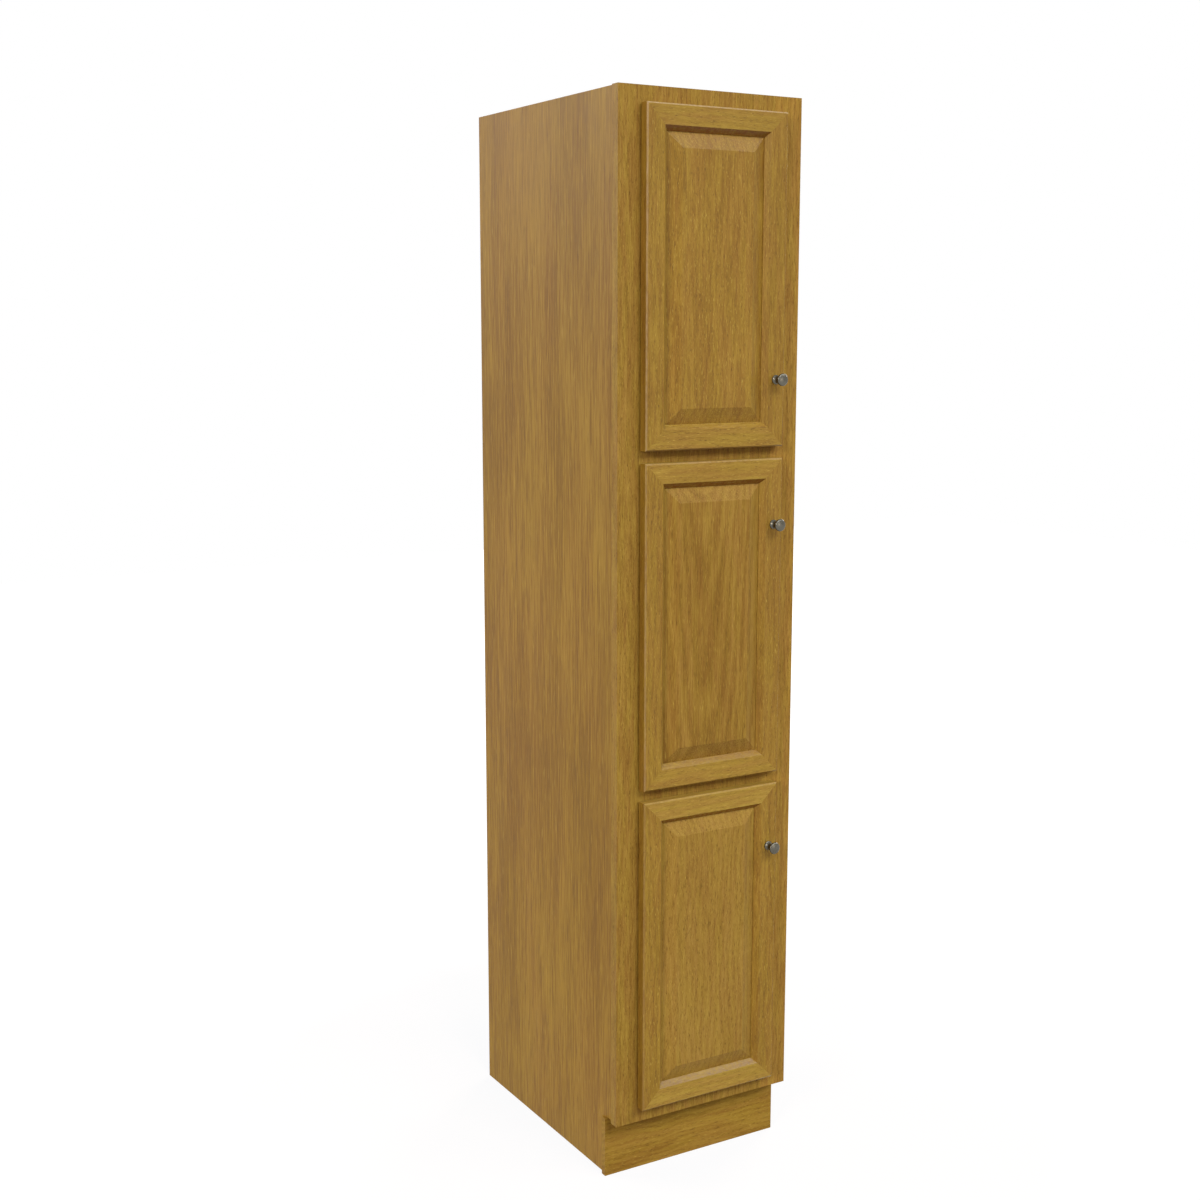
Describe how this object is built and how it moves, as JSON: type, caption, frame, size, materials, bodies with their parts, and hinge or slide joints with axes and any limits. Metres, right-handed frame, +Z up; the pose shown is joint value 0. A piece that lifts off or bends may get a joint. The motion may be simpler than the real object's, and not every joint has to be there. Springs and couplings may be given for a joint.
{
  "type": "linen cabinet",
  "caption": "Tall narrow oak linen cabinet with a face frame, stacked raised-panel doors on concealed hinges, round metal knobs, inner shelves and a recessed toe kick.",
  "frame": {"origin": "on the floor, under the centre of the whole object's bounding box, doors closed", "axes": "+Z up, +X to the right as seen from the front, the doors face -Y"},
  "size_m": [0.381, 0.5802, 1.9685],
  "materials": {
    "oak": "honey-stained oak under a satin clear coat",
    "interior": "pale natural wood-grain board, matt",
    "back_board": "thin pressed wood board, bare and matt",
    "dowel": "plain hardwood",
    "nickel": "satin pewter-grey plated metal",
    "steel": "bright zinc-plated steel",
    "rubber": "translucent soft rubber, matt"
  },
  "bodies": {
    "carcass": {"left_side_panel": "oak", "right_side_panel": "oak", "left_frame_stile": "oak", "right_frame_stile": "oak", "bottom_frame_rail": "oak", "lower_frame_rail": "oak", "upper_frame_rail": "oak", "top_frame_rail": "oak", "toe_kick_board": "oak", "top_panel": "interior", "bottom_panel": "interior", "lower_fixed_shelf": "interior", "upper_fixed_shelf": "interior", "lower_adjustable_shelf": "interior", "middle_adjustable_shelf": "interior", "upper_adjustable_shelf": "interior", "upper_nailer": "interior", "lower_nailer": "interior", "back_panel": "back_board", "shelf_pins": "steel", "frame_dowels": "dowel", "hinge_arms": "steel", "hinge_arm_screws": "steel"},
    "bottom_door": {"bottom_door_hinge_stile": "oak", "bottom_door_knob_stile": "oak", "bottom_door_top_rail": "oak", "bottom_door_bottom_rail": "oak", "bottom_door_panel": "oak", "bottom_door_corner_dowels": "dowel", "bottom_door_knob": "nickel", "bottom_door_knob_screw": "steel", "bottom_door_bumpers": "rubber", "bottom_door_hinge_cups": "steel", "bottom_door_hinge_pins": "steel", "bottom_door_cup_screws": "steel"},
    "middle_door": {"middle_door_hinge_stile": "oak", "middle_door_knob_stile": "oak", "middle_door_top_rail": "oak", "middle_door_bottom_rail": "oak", "middle_door_panel": "oak", "middle_door_corner_dowels": "dowel", "middle_door_knob": "nickel", "middle_door_knob_screw": "steel", "middle_door_bumpers": "rubber", "middle_door_hinge_cups": "steel", "middle_door_hinge_pins": "steel", "middle_door_cup_screws": "steel"},
    "top_door": {"top_door_hinge_stile": "oak", "top_door_knob_stile": "oak", "top_door_top_rail": "oak", "top_door_bottom_rail": "oak", "top_door_panel": "oak", "top_door_corner_dowels": "dowel", "top_door_knob": "nickel", "top_door_knob_screw": "steel", "top_door_bumpers": "rubber", "top_door_hinge_cups": "steel", "top_door_hinge_pins": "steel", "top_door_cup_screws": "steel"}
  },
  "joints": [
    {"name": "bottom_door_hinge", "type": "hinge", "parent": "carcass", "child": "bottom_door", "pos_m": [-0.13885, -0.25607, 0.4356], "axis": [0, 0, -1], "range_deg": [0, 105]},
    {"name": "middle_door_hinge", "type": "hinge", "parent": "carcass", "child": "middle_door", "pos_m": [-0.13885, -0.25607, 1.0414], "axis": [0, 0, -1], "range_deg": [0, 105]},
    {"name": "top_door_hinge", "type": "hinge", "parent": "carcass", "child": "top_door", "pos_m": [-0.13885, -0.25607, 1.6472], "axis": [0, 0, -1], "range_deg": [0, 105]}
  ]
}
